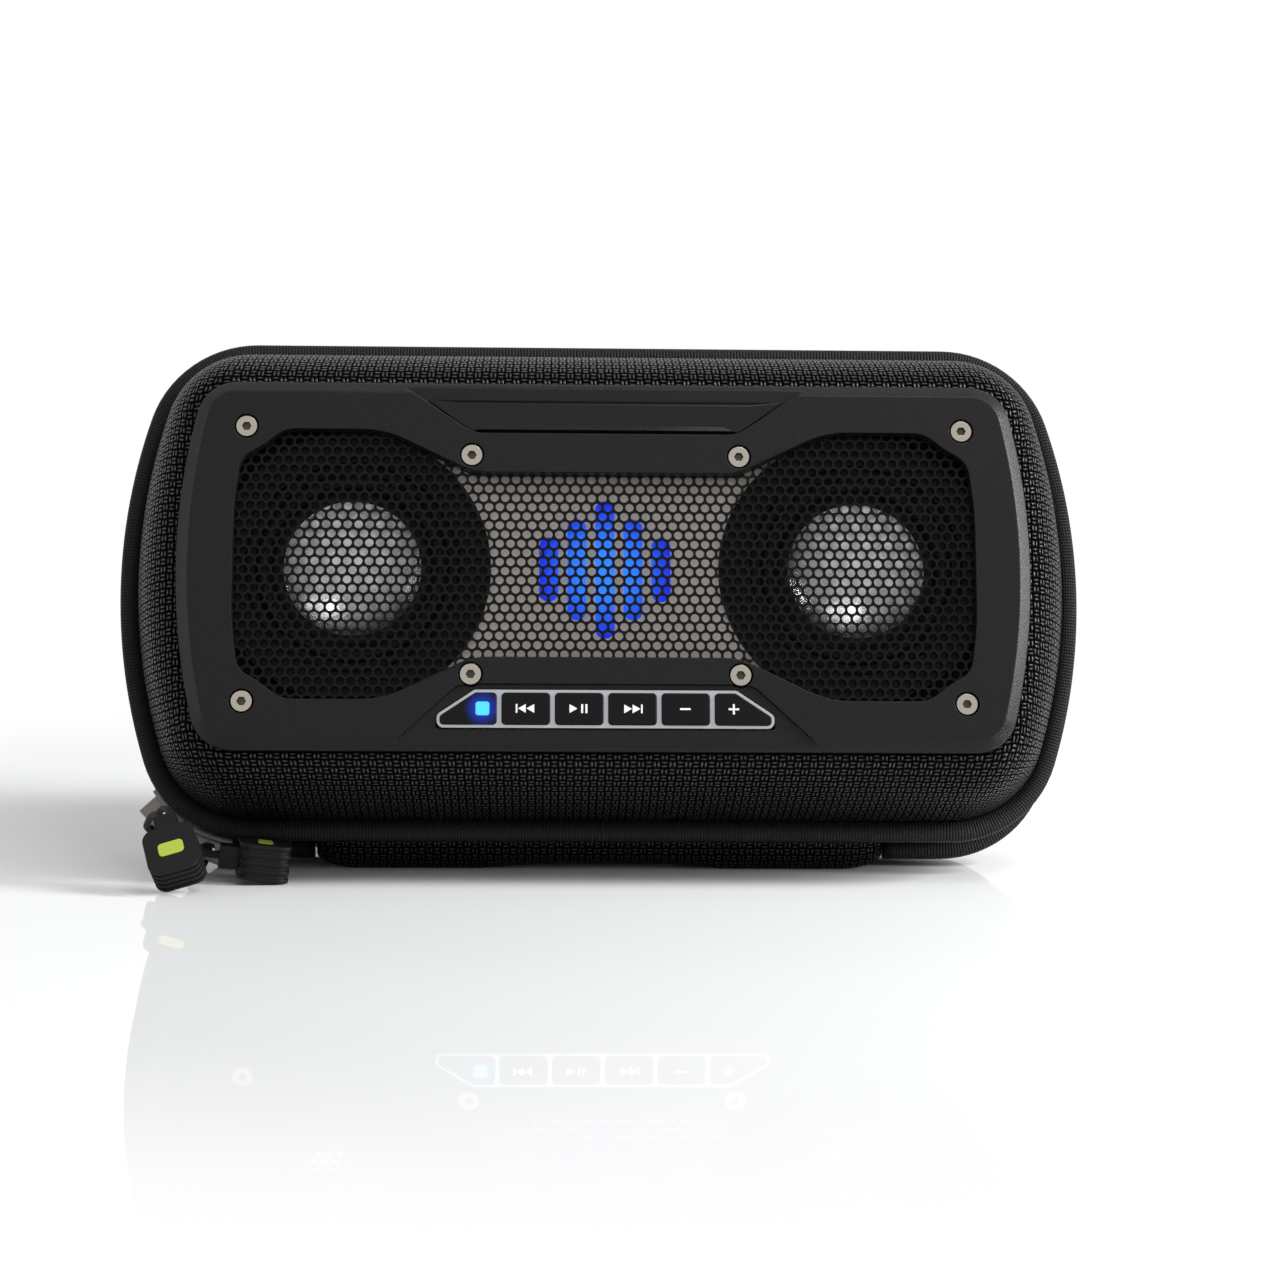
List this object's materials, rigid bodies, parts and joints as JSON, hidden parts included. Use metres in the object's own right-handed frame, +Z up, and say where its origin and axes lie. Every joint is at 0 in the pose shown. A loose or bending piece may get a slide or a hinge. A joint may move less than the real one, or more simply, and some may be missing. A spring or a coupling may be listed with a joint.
{
  "type": "portable bluetooth speaker",
  "caption": "Portable speaker in a zip-up moulded fabric case, with two drivers behind a perforated grille, a lit emblem window and a key row.",
  "frame": {"origin": "middle of the flat underside of the hinge spine, which the speaker stands on", "axes": "+X to the speaker's right as seen from the front, -Y towards the listener, +Z up; the case leans back 17 degrees"},
  "size_m": [0.19, 0.0829, 0.1024],
  "materials": {
    "ballistic_nylon": "woven, matt",
    "binding_tape": "fine ribbed woven tape",
    "zip_tape": "knitted tape with coil teeth",
    "slider_metal": "gunmetal, die cast",
    "cord": "braided cord",
    "pull_rubber": "moulded rubber",
    "lime_rubber": "moulded rubber",
    "bezel_plastic": "fine moulded texture",
    "gloss_black": "polished",
    "grille_steel": "perforated sheet, black powder coat",
    "steel": "stainless",
    "gasket_foam": "closed-cell foam",
    "key_silver": "satin painted",
    "key_rubber": "satin moulded",
    "blue_light": "lit lens",
    "circuit_board": "solder mask",
    "champagne_plate": "satin lacquer",
    "black_abs": "moulded",
    "cone_aluminium": "polished",
    "surround_rubber": "moulded",
    "copper_former": "wound wire",
    "spider_cloth": "treated cloth",
    "magnet_steel": "plated",
    "battery_wrap": "foil pouch"
  },
  "bodies": {
    "front_case": {"front_shell": "ballistic_nylon", "front_binding": "binding_tape", "zip_front": "zip_tape", "zip_tail": "zip_tape", "hinge_spine": "ballistic_nylon", "bezel": "bezel_plastic", "label_bar": "gloss_black", "grille": "grille_steel", "bezel_screws": "steel", "front_gasket": "gasket_foam", "key_frame": "key_silver", "key_board": "circuit_board", "key_switches": "steel", "centre_plate": "champagne_plate", "light_window": "blue_light", "light_board": "circuit_board", "baffle": "black_abs", "driver_basket_l": "black_abs", "driver_basket_r": "black_abs", "driver_trim_l": "black_abs", "driver_trim_r": "black_abs", "surround_l": "surround_rubber", "surround_r": "surround_rubber", "spider_l": "spider_cloth", "spider_r": "spider_cloth", "magnet_l": "magnet_steel", "magnet_r": "magnet_steel", "driver_screws": "steel", "back_box": "black_abs", "back_box_screws": "steel", "main_board": "circuit_board", "battery": "battery_wrap", "jack_socket": "black_abs", "usb_socket": "steel"},
    "rear_cover": {"rear_shell": "ballistic_nylon", "rear_binding": "binding_tape", "zip_rear": "zip_tape"},
    "key_power": {"key_power": "key_rubber", "power_light": "blue_light"},
    "key_prev": {"key_prev": "key_rubber"},
    "key_play": {"key_play": "key_rubber"},
    "key_next": {"key_next": "key_rubber"},
    "key_minus": {"key_minus": "key_rubber"},
    "key_plus": {"key_plus": "key_rubber"},
    "left_cone": {"cone_l": "cone_aluminium", "voice_coil_l": "copper_former"},
    "right_cone": {"cone_r": "cone_aluminium", "voice_coil_r": "copper_former"},
    "left_slider": {"slider_a": "slider_metal"},
    "lower_slider": {"slider_b": "slider_metal"},
    "left_pull": {"pull_cord_a": "cord", "pull_a": "pull_rubber", "pull_inlay_a": "lime_rubber"},
    "lower_pull": {"pull_cord_b": "cord", "pull_b": "pull_rubber", "pull_inlay_b": "lime_rubber"}
  },
  "joints": [
    {"name": "cover_hinge", "type": "hinge", "parent": "front_case", "child": "rear_cover", "pos_m": [0, 0.00591, 0], "axis": [-1, 0, 0], "range_deg": [0, 95]},
    {"name": "key_power_press", "type": "slide", "parent": "front_case", "child": "key_power", "axis": [0, 0.9563, -0.2924], "range_m": [0, 0.0008], "stiffness_N_per_m": 400, "springref_m": -0.0002},
    {"name": "key_prev_press", "type": "slide", "parent": "front_case", "child": "key_prev", "axis": [0, 0.9563, -0.2924], "range_m": [0, 0.0008], "stiffness_N_per_m": 400, "springref_m": -0.0002},
    {"name": "key_play_press", "type": "slide", "parent": "front_case", "child": "key_play", "axis": [0, 0.9563, -0.2924], "range_m": [0, 0.0008], "stiffness_N_per_m": 400, "springref_m": -0.0002},
    {"name": "key_next_press", "type": "slide", "parent": "front_case", "child": "key_next", "axis": [0, 0.9563, -0.2924], "range_m": [0, 0.0008], "stiffness_N_per_m": 400, "springref_m": -0.0002},
    {"name": "key_minus_press", "type": "slide", "parent": "front_case", "child": "key_minus", "axis": [0, 0.9563, -0.2924], "range_m": [0, 0.0008], "stiffness_N_per_m": 400, "springref_m": -0.0002},
    {"name": "key_plus_press", "type": "slide", "parent": "front_case", "child": "key_plus", "axis": [0, 0.9563, -0.2924], "range_m": [0, 0.0008], "stiffness_N_per_m": 400, "springref_m": -0.0002},
    {"name": "left_cone_stroke", "type": "slide", "parent": "front_case", "child": "left_cone", "axis": [0, -0.9563, 0.2924], "range_m": [-0.0015, 0.0015], "stiffness_N_per_m": 700, "deforming": ["surround_l", "spider_l"]},
    {"name": "right_cone_stroke", "type": "slide", "parent": "front_case", "child": "right_cone", "axis": [0, -0.9563, 0.2924], "range_m": [-0.0015, 0.0015], "stiffness_N_per_m": 700, "deforming": ["surround_r", "spider_r"]},
    {"name": "left_slider_run", "type": "hinge", "parent": "front_case", "child": "left_slider", "pos_m": [-0.06868, -0.00077, 0.02602], "axis": [0, -0.9563, 0.2924], "range_deg": [-12, 0]},
    {"name": "lower_slider_run", "type": "hinge", "parent": "front_case", "child": "lower_slider", "pos_m": [-0.06868, -0.00077, 0.02602], "axis": [0, -0.9563, 0.2924], "range_deg": [-4, 0]},
    {"name": "left_pull_swing", "type": "hinge", "parent": "left_slider", "child": "left_pull", "pos_m": [-0.08785, -0.006, 0.00894], "axis": [-0.682, 0.2138, 0.6994], "range_deg": [0, 12]},
    {"name": "lower_pull_swing", "type": "hinge", "parent": "lower_slider", "child": "lower_pull", "pos_m": [-0.07765, -0.00797, 0.00248], "axis": [-0.9397, 0.1, 0.3271], "range_deg": [0, 4]}
  ]
}
